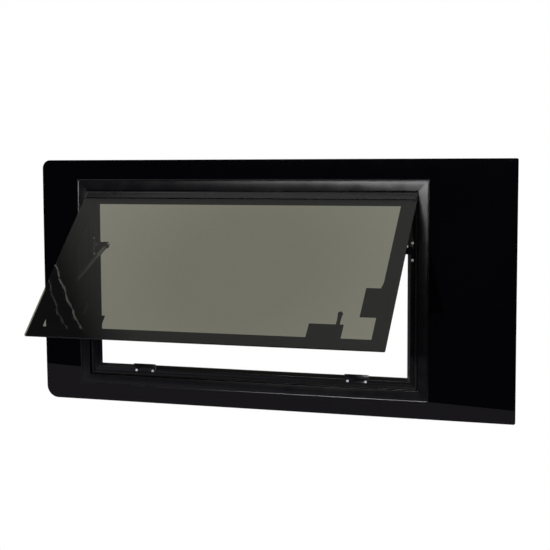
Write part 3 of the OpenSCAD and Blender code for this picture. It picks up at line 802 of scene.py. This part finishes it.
def screwRow(node, seatDepth, size, seed):
    places = []
    for group in loosePieces(node):
        x = (min(p.x for p in group) + max(p.x for p in group)) / 2
        z = (min(p.z for p in group) + max(p.z for p in group)) / 2
        spot = onCurve(x, z, seatDepth)
        places.append((spot, math.asin(z / window["bendRadius"])))
    mesh = bpy.data.meshes.new(node + "Points")
    mesh.from_pydata([p for p, _ in places], [], [])
    tilt = mesh.attributes.new("lean", "FLOAT_VECTOR", "POINT")
    for i, (_, lean) in enumerate(places):
        tilt.data[i].vector = (-lean, 0, 0)
    holder = bpy.data.objects.new(node + "Points", mesh)
    bpy.context.scene.collection.objects.link(holder)
    pattern = bpy.data.objects.new("screwPattern", screwPattern)
    bpy.context.scene.collection.objects.link(pattern)
    maker = holder.modifiers.new("screwRow", "NODES")
    maker.node_group = screwTool
    maker[screwSockets["screw"]] = pattern
    maker[screwSockets["size"]] = size
    maker[screwSockets["seed"]] = seed
    maker[screwSockets["finish"]] = finishes["zinc"]
    view = bpy.context.evaluated_depsgraph_get()
    done = bpy.data.meshes.new_from_object(holder.evaluated_get(view), depsgraph=view)
    for temporary in (holder, pattern):
        bpy.data.objects.remove(temporary)
    row = addPiece(node + "Row", done, bodyOf(node), "zinc")
    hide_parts(node)


# seat: depth of the heads' undersides behind the panel's face
screwRows = {
    "striker_screws": {"seat": 0.0038, "size": 1.0, "seed": 3},
    "stay_bracket_screws": {"seat": 0.0035, "size": 1.0, "seed": 8},
}
for node, row in screwRows.items():
    screwRow(node, row["seat"], row["size"], row["seed"])
print("screws placed")

studio = {
    "skyMirrored": (0.018, 0.018, 0.024),
    "floorHeight": -0.2965,
    "floorEdge": ((-4.0, -1.085), (4.0, 0.540)),
    "floorBack": 3.0,
    "floorMirrored": (0.215, 0.195, 0.23),
    "ceilingCorner": (-1.181, -0.241, 1.5),
    "ceilingSize": (3.2, 3.2),
    "ceilingTurn": 21.7,
    "ceilingLevels": ((0.0, 0.11), (0.09, 0.31), (0.2, 0.5), (1.0, 0.54), (2.2, 0.62)),
}


def glowFinish(name, seen, mirrored):
    # one level where the camera looks at it, another in reflections
    finish, tree, skin, out = newFinish(name)
    tree.nodes.remove(skin)
    path = tree.nodes.new("ShaderNodeLightPath")
    glow, dim = tree.nodes.new("ShaderNodeEmission"), tree.nodes.new("ShaderNodeEmission")
    glow.inputs["Color"].default_value = (seen, seen, seen, 1)
    dim.inputs["Color"].default_value = (*mirrored, 1)
    mix = tree.nodes.new("ShaderNodeMixShader")
    tree.links.new(path.outputs["Is Camera Ray"], mix.inputs["Fac"])
    tree.links.new(dim.outputs["Emission"], mix.inputs[1])
    tree.links.new(glow.outputs["Emission"], mix.inputs[2])
    tree.links.new(mix.outputs["Shader"], out.inputs["Surface"])
    return finish


def makeFloor():
    (x0, y0), (x1, y1) = studio["floorEdge"]
    z, back = studio["floorHeight"], studio["floorBack"]
    mesh = bpy.data.meshes.new("floor")
    mesh.from_pydata([(x0, y0, z), (x1, y1, z), (x1, back, z), (x0, back, z)], [], [(0, 1, 2, 3)])
    mesh.materials.append(glowFinish("paleFloor", 1.0, studio["floorMirrored"]))
    floor = bpy.data.objects.new("floor", mesh)
    bpy.context.scene.collection.objects.link(floor)


def makeSky():
    world = bpy.data.worlds.new("studio")
    world.use_nodes = True
    tree = world.node_tree
    tree.nodes.clear()
    out = tree.nodes.new("ShaderNodeOutputWorld")
    path = tree.nodes.new("ShaderNodeLightPath")
    seen, dim = tree.nodes.new("ShaderNodeBackground"), tree.nodes.new("ShaderNodeBackground")
    seen.inputs["Color"].default_value = (1, 1, 1, 1)
    dim.inputs["Color"].default_value = (*studio["skyMirrored"], 1)
    mix = tree.nodes.new("ShaderNodeMixShader")
    tree.links.new(path.outputs["Is Camera Ray"], mix.inputs["Fac"])
    tree.links.new(dim.outputs["Background"], mix.inputs[1])
    tree.links.new(seen.outputs["Background"], mix.inputs[2])
    tree.links.new(mix.outputs["Shader"], out.inputs["Surface"])
    bpy.context.scene.world = world


def makeCeiling():
    # soft light over the sash, weaker towards its left edge
    long, deep = studio["ceilingSize"]
    mesh = bpy.data.meshes.new("ceiling")
    mesh.from_pydata([(0, -deep / 2, 0), (0, deep / 2, 0), (long, deep / 2, 0), (long, -deep / 2, 0)],
                     [], [(0, 1, 2, 3)])
    finish, tree, skin, out = newFinish("ceilingGlow")
    tree.nodes.remove(skin)
    place = tree.nodes.new("ShaderNodeTexCoord")
    along = tree.nodes.new("ShaderNodeSeparateXYZ")
    tree.links.new(place.outputs["Object"], along.inputs["Vector"])
    ramp = tree.nodes.new("ShaderNodeValToRGB")
    levels = studio["ceilingLevels"]
    reach = levels[-1][0]
    for k, (s, level) in enumerate(levels):
        stops = ramp.color_ramp.elements
        stop = stops[k] if k < 2 else stops.new(s / reach)
        stop.position = s / reach
        stop.color = (level, level, level, 1)
    tree.links.new(spread(tree, along.outputs["X"], 0.0, 1.0, 0.0, reach), ramp.inputs["Fac"])
    glow = tree.nodes.new("ShaderNodeEmission")
    tree.links.new(ramp.outputs["Color"], glow.inputs["Color"])
    tree.links.new(glow.outputs["Emission"], out.inputs["Surface"])
    mesh.materials.append(finish)
    ceiling = bpy.data.objects.new("ceiling", mesh)
    ceiling.location = studio["ceilingCorner"]
    ceiling.rotation_euler = (0, 0, math.radians(studio["ceilingTurn"]))
    ceiling.visible_camera = False
    ceiling.visible_shadow = False
    bpy.context.scene.collection.objects.link(ceiling)


ribbons = {
    "ribbonOuter": {
        "path": [(-1.209, -0.303), (-1.168, -0.439), (-1.135, -0.500)], "width": 0.004, "level": 0.75,
    },
    "ribbonInner": {
        "path": [(-1.181, -0.241), (-1.128, -0.384), (-1.079, -0.497)], "width": 0.007, "level": 1.5,
    },
}
ribbonShape = {
    "height": 1.5,
    "steps": 40,
    "wobble": 0.0035,
    "wobbleTurn": 0.55,
    "gapEvery": 9,
    "gapAt": 7,
}


def addRibbon(name, path, width, level):
    # thin bright strip high above, seen only in the glass
    s = ribbonShape
    steps, height = s["steps"], s["height"]
    points = []
    for i in range(steps + 1):
        t = i / steps * (len(path) - 1)
        k = min(int(t), len(path) - 2)
        x, y = (path[k][j] + (path[k + 1][j] - path[k][j]) * (t - k) for j in (0, 1))
        points.append((x + s["wobble"] * math.sin(i * s["wobbleTurn"]), y))
    rows = [(x - width / 2, y, height) for x, y in points]
    rows += [(x + width / 2, y, height) for x, y in points]
    count = steps + 1
    faces = [(i, i + 1, count + i + 1, count + i) for i in range(steps) if i % s["gapEvery"] != s["gapAt"]]
    mesh = bpy.data.meshes.new(name)
    mesh.from_pydata(rows, [], faces)
    mesh.materials.append(glowFinish(name, 0, (level, level, level)))
    ribbon = bpy.data.objects.new(name, mesh)
    ribbon.visible_camera = False
    ribbon.visible_diffuse = False
    ribbon.visible_shadow = False
    bpy.context.scene.collection.objects.link(ribbon)


# each lamp: where it stands, what it faces, its width and height, and its radiance
lamps = {
    "keySoftbox": ((1.9, -1.6, 1.9), (0.2, 0, 0), (0.9, 0.9), 10.0),
    "fillSoftbox": ((-1.6, -1.8, 1.5), (0, 0, 0), (0.9, 0.9), 1.8),
    "frontSoftbox": ((-0.1, -3.6, 0.59), (-0.1, 0, 0.59), (1.3, 0.3), 30.0),
    "frontSide": ((-1.0, -3.6, 0.59), (-1.0, 0, 0.59), (0.5, 0.3), 15.0),
    "overheadFaint": ((-0.4, -0.2, 1.6), None, (6.0, 5.0), 0.07),     # faces straight down
    "sideStrip": ((-2.6, -0.7, 0.7), (-0.4, 0, 0.1), (0.5, 2.0), 3.0),
    "backWash": ((0.0, 1.6, 1.1), (0, 0, 0), (2.4, 1.0), 5.0),
    "backSide": ((1.9, 1.5, 0.5), (0, 0, 0), (0.6, 1.6), 7.0),
}


def addLamp(name, place, aim, size, radiance):
    lamp = bpy.data.lights.new(name, "AREA")
    lamp.shape = "RECTANGLE"
    lamp.size, lamp.size_y = size
    lamp.energy = radiance * math.pi * size[0] * size[1]
    obj = bpy.data.objects.new(name, lamp)
    obj.location = place
    if aim is not None:
        obj.rotation_euler = (Vector(aim) - Vector(place)).to_track_quat("-Z", "Y").to_euler()
    bpy.context.scene.collection.objects.link(obj)


makeFloor()
makeSky()
makeCeiling()
for name, ribbon in ribbons.items():
    addRibbon(name, ribbon["path"], ribbon["width"], ribbon["level"])
for name, (place, aim, size, radiance) in lamps.items():
    addLamp(name, place, aim, size, radiance)
bpy.context.scene.view_settings.view_transform = "Standard"
bpy.context.scene.view_settings.look = "None"
print("studio set")
